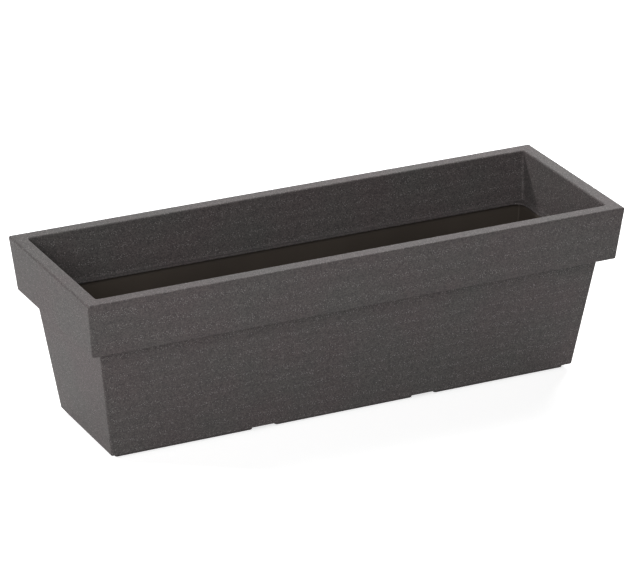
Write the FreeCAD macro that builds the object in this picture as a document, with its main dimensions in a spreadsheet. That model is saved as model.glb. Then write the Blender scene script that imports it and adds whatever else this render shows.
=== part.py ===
import FreeCAD, Part
import Sketcher
import os

# Window box planter: a tapered plastic tub with a deep band round its top, closed by a
# separate rim collar whose inner skirt lines the band, and plugs in the drain holes.
# Millimetres. The origin is on the ground at the middle of the footprint, X runs along
# the length, Y across the width and Z up.

SIZES = [
    ("overall_length", 601, "rim, end to end"),
    ("overall_width", 207, "rim, front to back"),
    ("overall_height", 189, "ground to rim"),
    ("band_height", 58, "band, from the rim down"),
    ("band_lean", 6.1, "how far the band leans in over its height"),
    ("band_step", 13.5, "ledge between the band and the tapered wall"),
    ("wall_draft", 8.1, "slope of the tapered wall, degrees"),
    ("skirt_side_draft", 7.5, "slope of the skirt along the sides, degrees"),
    ("skirt_end_draft", 3, "slope of the skirt across the ends, degrees"),
    ("wall", 3, "thickness of the tub's walls"),
    ("floor_thickness", 3, "thickness of the floor and of the foot pads"),
    ("corner_radius", 1.8, "upright corners of the tapered wall, outside"),
    ("inner_corner_radius", 1.2, "upright corners inside the tub"),
    ("band_corner_radius", 1.6, "upright corners of the band"),
    ("band_edge_radius", 0.8, "lower edge of the band"),
    ("base_edge_radius", 1.2, "lower edge of the tapered wall"),
    ("under_band_radius", 3.5, "hollow corner where the wall meets the band"),
    ("shoulder_radius", 7, "rounded shoulder inside, below the skirt's lip"),
    ("foot_height", 5.6, "ground to the underside of the floor"),
    ("foot_inset", 7, "foot pads, in from the lower edge of the wall"),
    ("foot_corner_radius", 3, "upright corners of the foot pads"),
    ("foot_edge_radius", 1.5, "lower edges of the foot pads"),
    ("floor_corner_radius", 1, "hollow corners round the floor inside"),
    ("pan_corner_radius", 2, "upright corners of the sunken parts of the floor"),
    ("channel_offset", 91.2, "drainage channels, from the middle"),
    ("channel_width", 25, "drainage channels, width"),
    ("drain_offset", 28, "drain holes, from the middle line"),
    ("drain_radius", 6, "drain holes"),
    ("rim_width", 15.2, "flat rim"),
    ("rim_thickness", 3, "flat rim"),
    ("rim_outer_radius", 2, "outer edge of the rim"),
    ("rim_inner_radius", 2, "inner edge of the rim"),
    ("cap_height", 6, "rim's outer edge, which caps the band's wall"),
    ("tongue_depth", 9, "tongue behind the band's wall"),
    ("tongue_thickness", 2, "tongue behind the band's wall"),
    ("fit_clearance", 0.3, "collar to band"),
    ("hook_depth", 1.2, "snap hooks on the tongue, and their recesses in the band"),
    ("hook_height", 3.5, "snap hooks"),
    ("hook_drop", 3, "top of the hooks, below the top of the band's wall"),
    ("hook_length", 16, "snap hooks"),
    ("side_hook_spacing", 140, "hooks along the sides"),
    ("side_hook_count", 4, "hooks along each side"),
    ("end_hook_spacing", 81, "hooks along the ends"),
    ("end_hook_count", 2, "hooks along each end"),
    ("skirt_thickness", 2.5, "inner skirt"),
    ("skirt_corner_radius", 2.5, "hollow corners of the skirt, upright and along its lip"),
    ("lip_width", 6, "skirt's inward lip"),
    ("lip_thickness", 2, "skirt's inward lip"),
    ("lip_corner_radius", 11, "corners of the opening inside the lip"),
    ("lip_edge_radius", 0.7, "edges of the lip"),
    ("rib_thickness", 2, "ribs between the skirt and the band"),
    ("rib_clearance", 0.6, "ribs to the band's wall"),
    ("side_rib_spacing", 70, "ribs along the sides"),
    ("side_rib_count", 8, "ribs along each side"),
    ("end_rib_spacing", 54, "ribs along the ends"),
    ("end_rib_count", 3, "ribs along each end"),
    ("plug_flange_overlap", 3, "plug's flange beyond the hole"),
    ("plug_flange_thickness", 2, "plug's flange"),
    ("plug_clearance", 0.1, "plug to hole, on the radius"),
    ("plug_reach", 2, "plug below the floor's underside"),
    ("plug_wall", 1.6, "plug's hollow stem"),
    ("plug_tip_chamfer", 0.6, "lead-in on the plug's stem"),
    ("plug_grip_margin", 2, "finger grip, in from the flange's edge"),
    ("plug_grip_height", 5, "finger grip above the flange"),
    ("plug_grip_thickness", 2.4, "finger grip"),
    ("plug_grip_radius", 1, "upright corners of the finger grip"),
    ("plug_grip_chamfer", 0.5, "top edges of the finger grip"),
]

doc = FreeCAD.newDocument("WindowBoxPlanter")
sheet = doc.addObject("Spreadsheet::Sheet", "Sizes")
for row, (alias, value, note) in enumerate(SIZES, start=1):
    sheet.set("A%d" % row, note)
    sheet.set("B%d" % row, str(value))
    sheet.setAlias("B%d" % row, alias)
doc.recompute()

# Levels above the ground, and slopes, as expressions in the sheet's sizes.
TOP = "Sizes.overall_height"
BAND_TOP = "(Sizes.overall_height - Sizes.cap_height)"
BAND_FOOT = "(Sizes.overall_height - Sizes.band_height)"
LEDGE = "(%s + Sizes.wall)" % BAND_FOOT
LIP_TOP = "(%s + Sizes.lip_thickness)" % LEDGE
RIM_UNDERSIDE = "(Sizes.overall_height - Sizes.rim_thickness)"
TONGUE_FOOT = "(%s - Sizes.tongue_depth)" % BAND_TOP
HOOK_TOP = "(%s - Sizes.hook_drop)" % BAND_TOP
HOOK_FOOT = "(%s - Sizes.hook_height)" % HOOK_TOP
UNDERSIDE = "Sizes.foot_height"
FLOOR = "(Sizes.foot_height + Sizes.floor_thickness)"
BAND_SLOPE = "(Sizes.band_lean / Sizes.band_height)"
WALL_SLOPE = "tan(Sizes.wall_draft)"
SKIRT_SLOPE = {"x": "tan(Sizes.skirt_end_draft)", "y": "tan(Sizes.skirt_side_draft)"}
DRAINS = [("front_left", "-", "-"), ("front_right", "", "-"),
          ("back_left", "-", ""), ("back_right", "", "")]
ACROSS = {"side": "y", "end": "x"}
RIM_HALF = {"x": "Sizes.overall_length / 2", "y": "Sizes.overall_width / 2"}


def band_half(axis, level, inset="0"):
    """Half size, at a level, of the band's outer face moved in by an inset."""
    return "(%s - %s * (%s - %s) - (%s))" % (RIM_HALF[axis], BAND_SLOPE, TOP, level, inset)


def wall_half(axis, level, inset="0"):
    """Half size, at a level, of the tapered wall's outer face moved in by an inset."""
    top = "(%s - Sizes.band_lean - Sizes.band_step)" % RIM_HALF[axis]
    return "(%s - %s * (%s - %s) - (%s))" % (top, WALL_SLOPE, BAND_FOOT, level, inset)


def skirt_half(axis, level, inset="0"):
    """Half size, at a level, of the skirt's inner face moved in by an inset."""
    top = "(%s - Sizes.rim_width)" % RIM_HALF[axis]
    return "(%s - %s * (%s - %s) - (%s))" % (top, SKIRT_SLOPE[axis], TOP, level, inset)


def foot_half(axis, inset="0"):
    """Half size of the foot pads' outline moved in by an inset."""
    return wall_half(axis, UNDERSIDE, "Sizes.foot_inset + %s" % inset)


def new_body(name):
    body = doc.addObject("PartDesign::Body", name)
    body.Label = name
    return body


def origin_feature(body, role):
    return next(item for item in body.Origin.OriginFeatures if item.Role == role)


def new_sketch(body, name, plane, offset):
    """An empty sketch on one of the body's own planes, moved along the plane's normal."""
    sketch = body.newObject("Sketcher::SketchObject", name)
    sketch.AttachmentSupport = (origin_feature(body, plane), [""])
    sketch.MapMode = "FlatFace"
    sketch.setExpression(".AttachmentOffset.Base.z", offset)
    return sketch


def constrain(sketch, name, expression, *constraint):
    """A named dimension, driven by an expression in the sheet's sizes."""
    value = float(sketch.evalExpression(expression))
    index = sketch.addConstraint(Sketcher.Constraint(*constraint, value))
    sketch.renameConstraint(index, name)
    sketch.setExpression(".Constraints." + name, expression)


def add_rectangle(sketch, name, left, right, bottom, top):
    """A rectangle whose four sides stand at given distances from the origin."""
    ends = [float(sketch.evalExpression(side)) for side in (left, right, bottom, top)]
    corners = [FreeCAD.Vector(x, y, 0) for x, y in
               ((ends[0], ends[2]), (ends[1], ends[2]), (ends[1], ends[3]), (ends[0], ends[3]))]
    first = sketch.GeometryCount
    for i in range(4):
        sketch.addGeometry(Part.LineSegment(corners[i], corners[(i + 1) % 4]), False)
    for i in range(4):
        sketch.addConstraint(Sketcher.Constraint("Coincident", first + i, 2, first + (i + 1) % 4, 1))
        kind = "Horizontal" if i % 2 == 0 else "Vertical"
        sketch.addConstraint(Sketcher.Constraint(kind, first + i))
    constrain(sketch, name + "_left", left, "DistanceX", -1, 1, first + 3, 1)
    constrain(sketch, name + "_right", right, "DistanceX", -1, 1, first + 1, 1)
    constrain(sketch, name + "_bottom", bottom, "DistanceY", -1, 1, first, 1)
    constrain(sketch, name + "_top", top, "DistanceY", -1, 1, first + 2, 1)


def add_polyline(sketch, points):
    """A closed outline through points given as pairs of expressions."""
    corners = [FreeCAD.Vector(float(sketch.evalExpression(x)), float(sketch.evalExpression(y)), 0)
               for x, y in points]
    count = len(points)
    for i in range(count):
        sketch.addGeometry(Part.LineSegment(corners[i], corners[(i + 1) % count]), False)
    for i in range(count):
        sketch.addConstraint(Sketcher.Constraint("Coincident", i, 2, (i + 1) % count, 1))
    for i, (x, y) in enumerate(points):
        for kind, value in (("DistanceX", x), ("DistanceY", y)):
            constrain(sketch, "%s_%d" % (kind[-1].lower(), i), value, kind, -1, 1, i, 1)


def add_circle(sketch, name, x, y, radius):
    """A circle centred at given distances from the origin."""
    centre = FreeCAD.Vector(float(sketch.evalExpression(x)), float(sketch.evalExpression(y)), 0)
    size = float(sketch.evalExpression(radius))
    index = sketch.addGeometry(Part.Circle(centre, FreeCAD.Vector(0, 0, 1), size), False)
    constrain(sketch, name + "_radius", radius, "Radius", index)
    constrain(sketch, name + "_x", x, "DistanceX", -1, 1, index, 3)
    constrain(sketch, name + "_y", y, "DistanceY", -1, 1, index, 3)


def tapered_block(body, kind, name, half, low, high, inset="0"):
    """Add or cut the block between two levels of a sloping face moved in by an inset."""
    block = body.newObject("PartDesign::" + kind, name)
    block.AttachmentSupport = (origin_feature(body, "XZ_Plane"), [""])
    block.MapMode = "FlatFace"
    # The plane's own Y axis points up and its Z axis across the width.
    block.setExpression("Ymin", low)
    block.setExpression("Ymax", high)
    for prefix, axis in (("X", "x"), ("Z", "y")):
        for end, level in (("", low), ("2", high)):
            block.setExpression(prefix + end + "min", "-" + half(axis, level, inset))
            block.setExpression(prefix + end + "max", half(axis, level, inset))
    doc.recompute()
    return block


def extrude(body, kind, name, sketch, length, upwards=True, midplane=False):
    """Pad or pocket a sketch by a length: up, down, or half to each side."""
    feature = body.newObject("PartDesign::" + kind, name)
    feature.Profile = sketch
    feature.setExpression("Length", length)
    feature.Reversed = (kind == "Pad") != upwards
    feature.Midplane = midplane
    doc.recompute()
    return feature


def dress_edges(body, kind, size_name, name, size, chosen):
    """Fillet or chamfer the edges of the body's last feature that a test picks."""
    base = body.Tip
    names = ["Edge%d" % (i + 1) for i, edge in enumerate(base.Shape.Edges) if chosen(edge)]
    feature = body.newObject("PartDesign::" + kind, name)
    feature.Base = (base, names)
    feature.setExpression(size_name, size)
    doc.recompute()


def round_edges(body, name, radius, chosen):
    dress_edges(body, "Fillet", "Radius", name, radius, chosen)


def bevel_edges(body, name, size, chosen):
    dress_edges(body, "Chamfer", "Size", name, size, chosen)


def measure(expression):
    return float(sheet.evalExpression(expression))


def near(value, expression):
    return abs(value - measure(expression)) < 0.02


def is_flat_at(edge, level):
    """True for an edge that lies flat at a level."""
    return near(edge.BoundBox.ZMin, level) and near(edge.BoundBox.ZMax, level)


def climbs(edge, low, high):
    """True for an edge that reaches from one level to another."""
    return near(edge.BoundBox.ZMin, low) and near(edge.BoundBox.ZMax, high)


def on_outline(edge, half, level, inset="0"):
    """True for a flat edge that runs along a face's outline at a level."""
    box = edge.BoundBox
    far_x = max(abs(box.XMin), abs(box.XMax))
    far_y = max(abs(box.YMin), abs(box.YMax))
    reaches = near(far_x, half("x", level, inset)) or near(far_y, half("y", level, inset))
    return is_flat_at(edge, level) and reaches


def on_corner(edge, half, low, high, inset="0"):
    """True for an edge that climbs a tapered block's corner from one level to another."""
    ends = sorted((vertex.Point for vertex in edge.Vertexes), key=lambda point: point.z)
    return len(ends) == 2 and all(
        near(end.z, level) and near(abs(end.x), half("x", level, inset))
        and near(abs(end.y), half("y", level, inset))
        for end, level in zip(ends, (low, high)))


def add_bars(body, kind, direction, name, thickness, foot, head):
    """A row of bars along the sides or the ends, each reaching across the whole box."""
    plane, axis, start = {"side": ("YZ_Plane", "X_Axis", "-"),
                          "end": ("XZ_Plane", "Y_Axis", "")}[direction]
    count = "Sizes.%s_%s_count" % (direction, name)
    run = "(%s - 1) * Sizes.%s_%s_spacing" % (count, direction, name)
    label = "%s_%s" % (direction, name)
    sketch = new_sketch(body, label + "_profile", plane, "%s(%s) / 2" % (start, run))
    add_polyline(sketch, (("-" + foot[0], foot[1]), foot, head, ("-" + head[0], head[1])))
    first = extrude(body, kind, label + "_first", sketch, thickness, midplane=True)
    pattern = body.newObject("PartDesign::LinearPattern", label + "s")
    pattern.Originals = [first]
    pattern.Direction = (origin_feature(body, axis), [""])
    pattern.setExpression("Length", run)
    pattern.setExpression("Occurrences", count)
    body.Tip = pattern
    doc.recompute()


def make_outer_tub():
    """The tapered box with its floor, foot pads, ledge, band and drain holes."""
    body = new_body("outer_tub")
    wall = "Sizes.wall"

    tapered_block(body, "AdditiveWedge", "wall_block", wall_half, UNDERSIDE, BAND_FOOT)
    round_edges(body, "wall_corners", "Sizes.corner_radius",
                lambda edge: on_corner(edge, wall_half, UNDERSIDE, BAND_FOOT))
    round_edges(body, "base_edge", "Sizes.base_edge_radius",
                lambda edge: is_flat_at(edge, UNDERSIDE))

    tapered_block(body, "AdditiveWedge", "band_block", band_half, BAND_FOOT, BAND_TOP)
    round_edges(body, "band_corners", "Sizes.band_corner_radius",
                lambda edge: on_corner(edge, band_half, BAND_FOOT, BAND_TOP))
    round_edges(body, "band_edge", "Sizes.band_edge_radius",
                lambda edge: on_outline(edge, band_half, BAND_FOOT))
    round_edges(body, "under_band", "Sizes.under_band_radius",
                lambda edge: on_outline(edge, wall_half, BAND_FOOT))

    tapered_block(body, "SubtractiveWedge", "cavity", wall_half, FLOOR, LEDGE, wall)
    round_edges(body, "cavity_corners", "Sizes.inner_corner_radius",
                lambda edge: on_corner(edge, wall_half, FLOOR, LEDGE, wall))
    round_edges(body, "floor_edge", "Sizes.floor_corner_radius",
                lambda edge: on_outline(edge, wall_half, FLOOR, wall))
    tapered_block(body, "SubtractiveWedge", "band_cavity", band_half, LEDGE, BAND_TOP, wall)
    round_edges(body, "band_cavity_corners", "Sizes.inner_corner_radius",
                lambda edge: on_corner(edge, band_half, LEDGE, BAND_TOP, wall))
    round_edges(body, "shoulder", "Sizes.shoulder_radius",
                lambda edge: on_outline(edge, wall_half, LEDGE, wall))
    cut_hook_recesses(body, "side")
    cut_hook_recesses(body, "end")

    add_feet(body)
    sink_pans(body)
    drill_drains(body)
    return body


def add_feet(body):
    """The foot slab, split into three pads by two channels that run front to back."""
    slab = new_sketch(body, "foot_outline", "XY_Plane", "0")
    half_x, half_y = foot_half("x"), foot_half("y")
    add_rectangle(slab, "slab", "-" + half_x, half_x, "-" + half_y, half_y)
    extrude(body, "Pad", "foot_slab", slab, UNDERSIDE)

    channels = new_sketch(body, "channel_outline", "XY_Plane", "0")
    for name, side in (("left", "-"), ("right", "")):
        middle = side + "Sizes.channel_offset"
        add_rectangle(channels, name, middle + " - Sizes.channel_width / 2",
                      middle + " + Sizes.channel_width / 2", "-" + half_y, half_y)
    extrude(body, "Pocket", "channels", channels, UNDERSIDE)

    round_edges(body, "foot_corners", "Sizes.foot_corner_radius",
                lambda edge: climbs(edge, "0", UNDERSIDE))
    round_edges(body, "foot_edges", "Sizes.foot_edge_radius",
                lambda edge: is_flat_at(edge, "0"))


def sink_pans(body):
    """The floor sinks into the foot pads, which keeps one wall thickness all over."""
    pans = new_sketch(body, "pan_outline", "XY_Plane", FLOOR)
    inner = "(Sizes.channel_offset - Sizes.channel_width / 2 - Sizes.wall)"
    outer = "(Sizes.channel_offset + Sizes.channel_width / 2 + Sizes.wall)"
    half_x, half_y = foot_half("x", "Sizes.wall"), foot_half("y", "Sizes.wall")
    add_rectangle(pans, "left", "-" + half_x, "-" + outer, "-" + half_y, half_y)
    add_rectangle(pans, "middle", "-" + inner, inner, "-" + half_y, half_y)
    add_rectangle(pans, "right", outer, half_x, "-" + half_y, half_y)
    extrude(body, "Pocket", "pans", pans, "Sizes.foot_height", upwards=False)

    round_edges(body, "pan_corners", "Sizes.pan_corner_radius",
                lambda edge: climbs(edge, "Sizes.floor_thickness", FLOOR))


def drill_drains(body):
    """Two drain holes in the floor over each channel."""
    sketch = new_sketch(body, "drain_outline", "XY_Plane", FLOOR)
    for name, side_x, side_y in DRAINS:
        add_circle(sketch, name, side_x + "Sizes.channel_offset", side_y + "Sizes.drain_offset",
                   "Sizes.drain_radius")
    extrude(body, "Pocket", "drains", sketch, "Sizes.floor_thickness", upwards=False)


def make_rim_collar():
    """The flat rim with its cap, tongue, inner skirt, lip and hidden ribs."""
    body = new_body("rim_collar")
    behind_wall = "Sizes.wall + Sizes.fit_clearance"
    behind_tongue = behind_wall + " + Sizes.tongue_thickness"
    skirt_back = "-Sizes.skirt_thickness"

    tapered_block(body, "AdditiveWedge", "cap_block", band_half, BAND_TOP, TOP)
    round_edges(body, "cap_corners", "Sizes.band_corner_radius",
                lambda edge: on_corner(edge, band_half, BAND_TOP, TOP))
    tapered_block(body, "AdditiveWedge", "tongue_block", band_half, TONGUE_FOOT, BAND_TOP,
                  behind_wall)
    round_edges(body, "tongue_corners", "Sizes.inner_corner_radius",
                lambda edge: on_corner(edge, band_half, TONGUE_FOOT, BAND_TOP, behind_wall))
    add_hooks(body, "side")
    add_hooks(body, "end")
    tapered_block(body, "SubtractiveWedge", "hollow", band_half, TONGUE_FOOT, RIM_UNDERSIDE,
                  behind_tongue)

    tapered_block(body, "AdditiveWedge", "skirt_block", skirt_half, LEDGE, TOP, skirt_back)
    add_ribs(body, "side")
    add_ribs(body, "end")

    tapered_block(body, "SubtractiveWedge", "opening", skirt_half, LIP_TOP, TOP)
    round_edges(body, "opening_corners", "Sizes.skirt_corner_radius",
                lambda edge: on_corner(edge, skirt_half, LIP_TOP, TOP)
                or on_outline(edge, skirt_half, LIP_TOP))
    cut_lip_opening(body)

    round_edges(body, "rim_outer_edge", "Sizes.rim_outer_radius",
                lambda edge: on_outline(edge, band_half, TOP))
    round_edges(body, "rim_inner_edge", "Sizes.rim_inner_radius",
                lambda edge: on_outline(edge, skirt_half, TOP))
    return body


def add_ribs(body, direction):
    """Ribs from the skirt to the band, standing on the ledge. The opening trims them."""
    clearance = "Sizes.wall + Sizes.rib_clearance"
    add_bars(body, "Pad", direction, "rib", "Sizes.rib_thickness",
             (band_half(ACROSS[direction], LEDGE, clearance), LEDGE),
             (band_half(ACROSS[direction], RIM_UNDERSIDE, clearance), RIM_UNDERSIDE))


def add_hooks(body, direction):
    """Snap hooks with a sloping lead-in. The hollow trims them to the tongue."""
    face = "Sizes.wall + Sizes.fit_clearance"
    add_bars(body, "Pad", direction, "hook", "Sizes.hook_length",
             (band_half(ACROSS[direction], HOOK_FOOT, face), HOOK_FOOT),
             (band_half(ACROSS[direction], HOOK_TOP, face + " - Sizes.hook_depth"), HOOK_TOP))


def cut_hook_recesses(body, direction):
    """Recesses in the band's wall that the hooks snap into, with a clearance all round."""
    low, high = HOOK_FOOT + " - Sizes.fit_clearance", HOOK_TOP + " + Sizes.fit_clearance"
    add_bars(body, "Pocket", direction, "hook", "Sizes.hook_length + 2 * Sizes.fit_clearance",
             (band_half(ACROSS[direction], "(%s)" % low, "Sizes.wall"), low),
             (band_half(ACROSS[direction], "(%s)" % high, "Sizes.wall - Sizes.hook_depth"), high))


def cut_lip_opening(body):
    """The rounded opening inside the lip at the foot of the skirt."""
    half_x = skirt_half("x", LIP_TOP, "Sizes.lip_width")
    half_y = skirt_half("y", LIP_TOP, "Sizes.lip_width")
    sketch = new_sketch(body, "lip_outline", "XY_Plane", LEDGE)
    add_rectangle(sketch, "lip", "-" + half_x, half_x, "-" + half_y, half_y)
    extrude(body, "Pocket", "lip_opening", sketch, "Sizes.lip_thickness")

    def inside(axis, level, inset="0"):
        return skirt_half(axis, LIP_TOP, "Sizes.lip_width")

    round_edges(body, "lip_corners", "Sizes.lip_corner_radius",
                lambda edge: on_corner(edge, inside, LEDGE, LIP_TOP))
    round_edges(body, "lip_edges", "Sizes.lip_edge_radius",
                lambda edge: on_outline(edge, inside, LEDGE) or on_outline(edge, inside, LIP_TOP))


def make_drain_plug(name, side_x, side_y):
    """A push-in plug: a hollow stem, a flange on the floor and a finger grip."""
    body = new_body("drain_plug_" + name)
    stem = "(Sizes.drain_radius - Sizes.plug_clearance)"
    tip = "-(Sizes.floor_thickness + Sizes.plug_reach)"
    profile = new_sketch(body, name + "_profile", "XZ_Plane", "0")
    add_polyline(profile, (
        ("0", "0"),
        (stem + " - Sizes.plug_wall", "0"),
        (stem + " - Sizes.plug_wall", tip),
        (stem + " - Sizes.plug_tip_chamfer", tip),
        (stem, tip + " + Sizes.plug_tip_chamfer"),
        (stem, "0"),
        ("Sizes.drain_radius + Sizes.plug_flange_overlap", "0"),
        ("Sizes.drain_radius + Sizes.plug_flange_overlap", "Sizes.plug_flange_thickness"),
        ("0", "Sizes.plug_flange_thickness")))
    turned = body.newObject("PartDesign::Revolution", name + "_stem")
    turned.Profile = profile
    turned.ReferenceAxis = (profile, ["V_Axis"])
    turned.Angle = 360
    doc.recompute()

    grip = new_sketch(body, name + "_grip_outline", "XY_Plane", "Sizes.plug_flange_thickness")
    reach = "(Sizes.drain_radius + Sizes.plug_flange_overlap - Sizes.plug_grip_margin)"
    half = "Sizes.plug_grip_thickness / 2"
    add_rectangle(grip, "grip", "-" + reach, reach, "-" + half, half)
    extrude(body, "Pad", name + "_grip", grip, "Sizes.plug_grip_height")
    grip_foot = "Sizes.plug_flange_thickness"
    grip_top = "(Sizes.plug_flange_thickness + Sizes.plug_grip_height)"
    round_edges(body, name + "_grip_corners", "Sizes.plug_grip_radius",
                lambda edge: climbs(edge, grip_foot, grip_top))
    bevel_edges(body, name + "_grip_top", "Sizes.plug_grip_chamfer",
                lambda edge: is_flat_at(edge, grip_top))

    body.setExpression(".Placement.Base.x", side_x + "Sizes.channel_offset")
    body.setExpression(".Placement.Base.y", side_y + "Sizes.drain_offset")
    body.setExpression(".Placement.Base.z", FLOOR)
    return body


def finish(bodies):
    """Check the whole document, then write each piece to its own file."""
    doc.recompute()
    failed = [item.Name for item in doc.Objects if {"Invalid", "Error"} & set(item.State)]
    if failed:
        raise RuntimeError("failed features: " + ", ".join(failed))
    os.makedirs("parts", exist_ok=True)
    for body in bodies:
        if body.Shape.isNull() or not body.Shape.isValid():
            raise RuntimeError("bad shape: " + body.Label)
        body.Shape.exportStep("parts/%s.step" % body.Label)


finish([make_outer_tub(), make_rim_collar()] + [make_drain_plug(*drain) for drain in DRAINS])
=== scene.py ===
import math

import bpy
from mathutils import Matrix, Vector


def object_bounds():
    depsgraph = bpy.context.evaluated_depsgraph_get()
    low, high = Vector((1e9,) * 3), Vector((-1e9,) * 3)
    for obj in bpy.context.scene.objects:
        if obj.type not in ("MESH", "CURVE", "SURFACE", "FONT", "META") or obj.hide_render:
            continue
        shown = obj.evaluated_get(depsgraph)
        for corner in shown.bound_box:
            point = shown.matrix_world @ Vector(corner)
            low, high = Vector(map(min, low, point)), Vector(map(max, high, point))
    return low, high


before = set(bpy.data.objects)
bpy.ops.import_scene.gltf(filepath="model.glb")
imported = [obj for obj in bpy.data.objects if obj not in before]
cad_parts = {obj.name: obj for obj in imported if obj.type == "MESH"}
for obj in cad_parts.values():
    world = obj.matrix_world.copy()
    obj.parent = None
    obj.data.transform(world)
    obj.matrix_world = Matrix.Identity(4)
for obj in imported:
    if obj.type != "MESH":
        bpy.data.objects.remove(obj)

cad_low, cad_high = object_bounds()

MM = 0.001
WHITE = (1.0, 1.0, 1.0)

# The view: angles in degrees, lengths in metres, focal length in pixels of the 640 px wide image.
AZIMUTH = -25.964
ELEVATION = 22.617
DISTANCE = 4.2533
AIM_RIGHT = 0.7 * MM
AIM_UP = 113.46 * MM
FOCAL_PIXELS = 4091
IMAGE_WIDTH = 640
SENSOR_WIDTH = 36

# The lamps: name, azimuth and elevation in degrees, distance and size in metres, power, colour.
LAMPS = [
    ("key", -116, 29, 3.5, 0.35, 55, (1.0, 0.96, 0.965)),
    ("fill", -36, 28, 3.2, 2.0, 71, WHITE),
    ("back", 135, 50, 2.2, 1.3, 54, WHITE),
]

# The floor: it lies just under the feet, and its glow lifts it to white in view and in reflections.
FLOOR_HALF = 4.0
FLOOR_DROP = 0.4 * MM
FLOOR_TONE = (0.75, 0.75, 0.75)
FLOOR_GLOW = 0.70

# The tub's sizes that tell its speckled outside from its plain inside, in metres.
HALF_LENGTH, HALF_WIDTH, TOP = cad_high
BAND_DEPTH = 58 * MM
BAND_TAPER = 6.1 * MM
LEDGE = 13.5 * MM
WALL_SLOPE = math.tan(math.radians(8.1))
FLOOR_UNDERSIDE = 5.6 * MM
FOOT_INSET = 7 * MM
CHANNEL_OFFSET = 91.2 * MM
CHANNEL_HALF = 12.5 * MM
SKIN = 1.5 * MM

BAND_FOOT = TOP - BAND_DEPTH
BAND_SLOPE = BAND_TAPER / BAND_DEPTH
WALL_INSET = BAND_TAPER + LEDGE

# The plastic's patterns, in features a metre, and its relief.
GRAIN_SCALE = 1050
FLECK_SCALE = 560
RELIEF_SCALE = 700
TINT_SCALE = 14
FLOW_SCALE = 9
SWELL_SCALE = 30
SWELL_SHARE = 0.3
RELIEF_DEPTH = 0.35 * MM
RELIEF_STRENGTH = 0.55

# The flecks: radius as a share of a cell, share of the cells that have one, and colour.
FLECK_SIZE = 0.23
FLECK_SHARE = 0.45
FLECK_COLOUR = (0.225, 0.215, 0.21)

RUBBER_TINT_SCALE = 200
RUBBER_RELIEF_SCALE = 900
RUBBER_RELIEF_DEPTH = 0.2 * MM
RUBBER_RELIEF_STRENGTH = 0.4

GRANITE_ROUGHNESS = 0.6
PLAIN_ROUGHNESS = 0.5
PLASTIC_SPECULAR = 0.14

# A Mix node's sockets for colours.
MIX_FACTOR, MIX_FIRST, MIX_SECOND = 0, 6, 7
MIX_RESULT = 2


class Field:
    """A number that varies over a surface, made by Math nodes."""

    def __init__(self, tree, socket):
        self.tree = tree
        self.socket = socket

    def combine(self, operation, *others):
        node = self.tree.nodes.new("ShaderNodeMath")
        node.operation = operation
        for value, socket in zip((self,) + others, node.inputs):
            feed(self.tree, value, socket)
        return Field(self.tree, node.outputs[0])

    def __add__(self, other):
        return self.combine("ADD", other)

    def __sub__(self, other):
        return self.combine("SUBTRACT", other)

    def __rsub__(self, other):
        return self.combine("MULTIPLY_ADD", -1.0, other)

    def __mul__(self, other):
        return self.combine("MULTIPLY", other)

    def __gt__(self, other):
        return self.combine("GREATER_THAN", other)

    def __lt__(self, other):
        return self.combine("LESS_THAN", other)

    def __abs__(self):
        return self.combine("ABSOLUTE")


def feed(tree, value, socket):
    """Give a node's input a field, another node's output or a plain value."""
    if isinstance(value, Field):
        value = value.socket
    if isinstance(value, bpy.types.NodeSocket):
        tree.links.new(value, socket)
    else:
        socket.default_value = value


def solid(colour):
    """A plain colour as a colour socket takes it."""
    return (*colour, 1.0)


def new_material(name, roughness, specular):
    """A material with one Principled shader. Returns it with its tree and that shader."""
    material = bpy.data.materials.new(name)
    material.use_nodes = True
    tree = material.node_tree
    shader = next(n for n in tree.nodes if n.type == "BSDF_PRINCIPLED")
    shader.inputs["Roughness"].default_value = roughness
    shader.inputs["Specular IOR Level"].default_value = specular
    return material, tree, shader


def position(tree):
    """The surface point in the object's own frame, in metres."""
    return tree.nodes.new("ShaderNodeTexCoord").outputs["Object"]


def noise(tree, scale, detail=2.0, roughness=0.5):
    """Soft noise about 0.5, with features about 1 / scale metres across."""
    node = tree.nodes.new("ShaderNodeTexNoise")
    for name, value in (("Vector", position(tree)), ("Scale", scale), ("Detail", detail),
                        ("Roughness", roughness)):
        feed(tree, value, node.inputs[name])
    return Field(tree, node.outputs["Fac"])


def cells(tree, scale):
    """Cells about 1 / scale metres across: two random numbers for each, and how far off its
    middle a point is, in cells."""
    node = tree.nodes.new("ShaderNodeTexVoronoi")
    feed(tree, position(tree), node.inputs["Vector"])
    feed(tree, scale, node.inputs["Scale"])
    split = tree.nodes.new("ShaderNodeSeparateColor")
    feed(tree, node.outputs["Color"], split.inputs["Color"])
    return [Field(tree, socket) for socket in
            (split.outputs["Red"], split.outputs["Green"], node.outputs["Distance"])]


def ramp(tree, factor, stops):
    """A colour ramp with stops given as (place, colour)."""
    node = tree.nodes.new("ShaderNodeValToRGB")
    elements = node.color_ramp.elements
    while len(elements) < len(stops):
        elements.new(0.5)
    for element, (place, colour) in zip(elements, stops):
        element.position = place
        element.color = solid(colour)
    feed(tree, factor, node.inputs["Fac"])
    return node.outputs["Color"]


def mix(tree, factor, first, second, kind="MIX"):
    """Two colours mixed by a field or a plain number."""
    node = tree.nodes.new("ShaderNodeMix")
    node.data_type = "RGBA"
    node.blend_type = kind
    for index, value in ((MIX_FACTOR, factor), (MIX_FIRST, first), (MIX_SECOND, second)):
        feed(tree, value, node.inputs[index])
    return node.outputs[MIX_RESULT]


def bump(tree, shader, height, depth, strength):
    """Small relief from a height field. A height of 1 stands for the depth, in metres."""
    node = tree.nodes.new("ShaderNodeBump")
    for name, value in (("Height", height), ("Distance", depth), ("Strength", strength)):
        feed(tree, value, node.inputs[name])
    feed(tree, node.outputs["Normal"], shader.inputs["Normal"])


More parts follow.
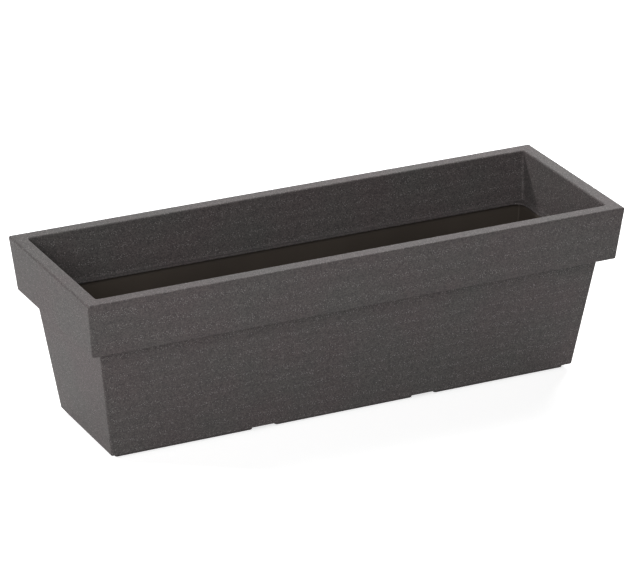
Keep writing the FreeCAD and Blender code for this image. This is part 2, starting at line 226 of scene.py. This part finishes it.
def granite_colour(tree):
    """Dark grey-brown plastic with fine grains, pale flecks and a faint drift of tint."""
    tint = ramp(tree, noise(tree, TINT_SCALE), (
        (0.35, (0.081, 0.070, 0.070)), (0.65, (0.077, 0.073, 0.071))))
    shade, _, _ = cells(tree, GRAIN_SCALE)
    grain = ramp(tree, shade, (
        (0.0, (0.32, 0.32, 0.33)), (0.5, (0.5, 0.5, 0.5)), (1.0, (0.68, 0.67, 0.66))))
    grained = mix(tree, 1.0, tint, grain, "OVERLAY")
    _, chance, distance = cells(tree, FLECK_SCALE)
    fleck = (distance < FLECK_SIZE) * (chance > 1 - FLECK_SHARE)
    return mix(tree, fleck, grained, solid(FLECK_COLOUR))


def granite_relief(tree):
    """The fine roughness of the speckled plastic, as a height field."""
    return noise(tree, RELIEF_SCALE, detail=2.5, roughness=0.6)


def plain_colour(tree):
    """Brown-black plastic with faint flow marks."""
    return ramp(tree, noise(tree, FLOW_SCALE, detail=3.0), (
        (0.3, (0.052, 0.043, 0.036)), (0.7, (0.070, 0.058, 0.048))))


def inside_tub(tree):
    """1 on the tub's inner faces and 0 on its outside."""
    axes = tree.nodes.new("ShaderNodeSeparateXYZ")
    feed(tree, position(tree), axes.inputs["Vector"])
    x, y, z = (Field(tree, axes.outputs[axis]) for axis in "XYZ")
    x, y = abs(x), abs(y)

    # Between the walls, which taper at one slope in the band and at another below it.
    drop = (z - TOP) * BAND_SLOPE
    taper = (z - BAND_FOOT) * WALL_SLOPE
    above = z > BAND_FOOT + SKIN
    below = z < BAND_FOOT + SKIN
    between = []
    for along, half in ((x, HALF_LENGTH), (y, HALF_WIDTH)):
        in_band = (drop - along + (half - SKIN)) > 0
        in_wall = (taper - along + (half - WALL_INSET - SKIN)) > 0
        between.append(in_band * above + in_wall * below)
    box = between[0] * between[1] * (z > FLOOR_UNDERSIDE + SKIN)

    # The sunken parts of the floor over the feet, to both sides of each channel.
    shrink = WALL_INSET + (BAND_FOOT - FLOOR_UNDERSIDE) * WALL_SLOPE + FOOT_INSET + SKIN
    pans = (x < HALF_LENGTH - shrink) * (y < HALF_WIDTH - shrink)
    pans = pans * (abs(x - CHANNEL_OFFSET) > CHANNEL_HALF + SKIN) * (z > SKIN)
    return box.combine("MAXIMUM", pans)


def collar_material():
    """Granite plastic all over."""
    material, tree, shader = new_material("granite_plastic", GRANITE_ROUGHNESS, PLASTIC_SPECULAR)
    feed(tree, granite_colour(tree), shader.inputs["Base Color"])
    bump(tree, shader, granite_relief(tree), RELIEF_DEPTH, RELIEF_STRENGTH)
    return material


def tub_material():
    """Granite plastic outside, plain smooth plastic inside."""
    material, tree, shader = new_material("tub_plastic", GRANITE_ROUGHNESS, PLASTIC_SPECULAR)
    inside = inside_tub(tree)
    outside = 1 - inside
    colour = mix(tree, inside, granite_colour(tree), plain_colour(tree))
    feed(tree, colour, shader.inputs["Base Color"])
    relief = granite_relief(tree) * outside + noise(tree, SWELL_SCALE) * inside * SWELL_SHARE
    bump(tree, shader, relief, RELIEF_DEPTH, RELIEF_STRENGTH)
    roughness = outside * (GRANITE_ROUGHNESS - PLAIN_ROUGHNESS) + PLAIN_ROUGHNESS
    feed(tree, roughness, shader.inputs["Roughness"])
    return material


def plug_material():
    """Black rubber."""
    material, tree, shader = new_material("plug_rubber", roughness=0.6, specular=0.4)
    colour = ramp(tree, noise(tree, RUBBER_TINT_SCALE), (
        (0.3, (0.012, 0.012, 0.012)), (0.7, (0.020, 0.020, 0.019))))
    feed(tree, colour, shader.inputs["Base Color"])
    relief = noise(tree, RUBBER_RELIEF_SCALE)
    bump(tree, shader, relief, RUBBER_RELIEF_DEPTH, RUBBER_RELIEF_STRENGTH)
    return material


def dress(names, material):
    """Put a material in the CAD nodes' own material slots."""
    for name in names:
        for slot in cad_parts[name].material_slots:
            slot.link = "OBJECT"
            slot.material = material


def direction(azimuth, elevation):
    """The way from the object to a place at these angles, in degrees. Azimuth 0 is in front."""
    a, e = math.radians(azimuth), math.radians(elevation)
    return Vector((math.sin(a) * math.cos(e), -math.cos(a) * math.cos(e), math.sin(e)))


def add_camera():
    """A camera at the view's angles, aimed a little past the origin."""
    back = direction(AZIMUTH, ELEVATION)
    right = direction(AZIMUTH + 90, 0)
    up = back.cross(right)
    camera = bpy.data.objects.new("camera", bpy.data.cameras.new("camera"))
    camera.data.sensor_width = SENSOR_WIDTH
    camera.data.lens = FOCAL_PIXELS / IMAGE_WIDTH * SENSOR_WIDTH
    place = right * AIM_RIGHT + up * AIM_UP + back * DISTANCE
    camera.matrix_world = Matrix.Translation(place) @ Matrix((right, up, back)).transposed().to_4x4()
    bpy.context.scene.collection.objects.link(camera)
    bpy.context.scene.camera = camera


def add_lamp(name, azimuth, elevation, distance, size, power, colour):
    """A soft square lamp that faces the object."""
    away = direction(azimuth, elevation)
    data = bpy.data.lights.new(name, "AREA")
    data.shape = "SQUARE"
    data.size = size
    data.energy = power
    data.color = colour
    lamp = bpy.data.objects.new(name, data)
    lamp.location = away * distance + Vector((0, 0, TOP / 2))
    lamp.rotation_euler = away.to_track_quat("Z", "Y").to_euler()
    bpy.context.scene.collection.objects.link(lamp)


def add_world():
    """White all round, seen by the camera and in reflections. Dull surfaces get no light from it."""
    world = bpy.data.worlds.new("studio")
    bpy.context.scene.world = world
    world.use_nodes = True
    tree = world.node_tree
    background = next(n for n in tree.nodes if n.type == "BACKGROUND")
    feed(tree, solid(WHITE), background.inputs["Color"])
    diffuse = Field(tree, tree.nodes.new("ShaderNodeLightPath").outputs["Is Diffuse Ray"])
    feed(tree, 1 - diffuse, background.inputs["Strength"])


def floor_material():
    """Dull white paper that keeps shadows. Its glow is for the camera and for reflections."""
    material, tree, shader = new_material("floor_paper", roughness=0.9, specular=0.2)
    feed(tree, solid(FLOOR_TONE), shader.inputs["Base Color"])
    material.cycles.emission_sampling = "NONE"
    glow = tree.nodes.new("ShaderNodeEmission")
    rays = tree.nodes.new("ShaderNodeLightPath").outputs
    camera, glossy, clear = (Field(tree, rays["Is %s Ray" % kind])
                             for kind in ("Camera", "Glossy", "Transmission"))
    feed(tree, (camera + glossy + clear) * FLOOR_GLOW, glow.inputs["Strength"])
    both = tree.nodes.new("ShaderNodeAddShader")
    for part, socket in zip((shader, glow), both.inputs):
        feed(tree, part.outputs[0], socket)
    output = next(n for n in tree.nodes if n.type == "OUTPUT_MATERIAL")
    feed(tree, both.outputs[0], output.inputs["Surface"])
    return material


def add_floor():
    """A white floor that shows the soft shadow under the object."""
    mesh = bpy.data.meshes.new("floor")
    corners = [(x * FLOOR_HALF, y * FLOOR_HALF, 0) for x, y in ((-1, -1), (1, -1), (1, 1), (-1, 1))]
    mesh.from_pydata(corners, [], [(0, 1, 2, 3)])
    mesh.materials.append(floor_material())
    floor = bpy.data.objects.new("floor", mesh)
    floor.location.z = -FLOOR_DROP
    bpy.context.scene.collection.objects.link(floor)


dress(["outer_tub"], tub_material())
dress(["rim_collar"], collar_material())
dress([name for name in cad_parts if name.startswith("drain_plug")], plug_material())

add_camera()
for lamp in LAMPS:
    add_lamp(*lamp)
add_world()
add_floor()
bpy.context.scene.view_settings.view_transform = "Standard"
